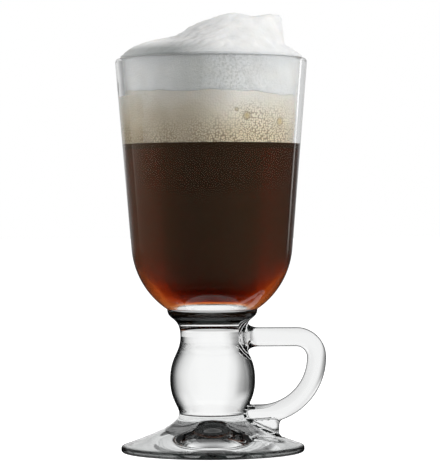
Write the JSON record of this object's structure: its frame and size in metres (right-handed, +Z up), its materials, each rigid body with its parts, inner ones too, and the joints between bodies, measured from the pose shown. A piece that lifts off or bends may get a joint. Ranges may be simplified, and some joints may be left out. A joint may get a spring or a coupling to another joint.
{
  "type": "irish coffee glass mug",
  "caption": "Footed clear glass mug with a ball stem and a bent rod handle, filled with coffee, tan froth and a mound of milk foam.",
  "frame": {"origin": "centre of the foot on the table, on the axis of the bowl", "axes": "+Z up along the bowl's axis to the mouth, +X along the handle, -Y towards the side in the picture"},
  "size_m": [0.0785, 0.0718, 0.1639],
  "materials": {
    "clear_glass": "polished",
    "coffee": "liquid",
    "froth": "bubbly",
    "milk_foam": "soft foam"
  },
  "bodies": {
    "root": {"foot": "clear_glass", "ball_stem": "clear_glass", "collar": "clear_glass", "bowl": "clear_glass", "handle": "clear_glass", "coffee": "coffee", "froth": "froth", "milk_foam": "milk_foam"}
  },
  "joints": []
}
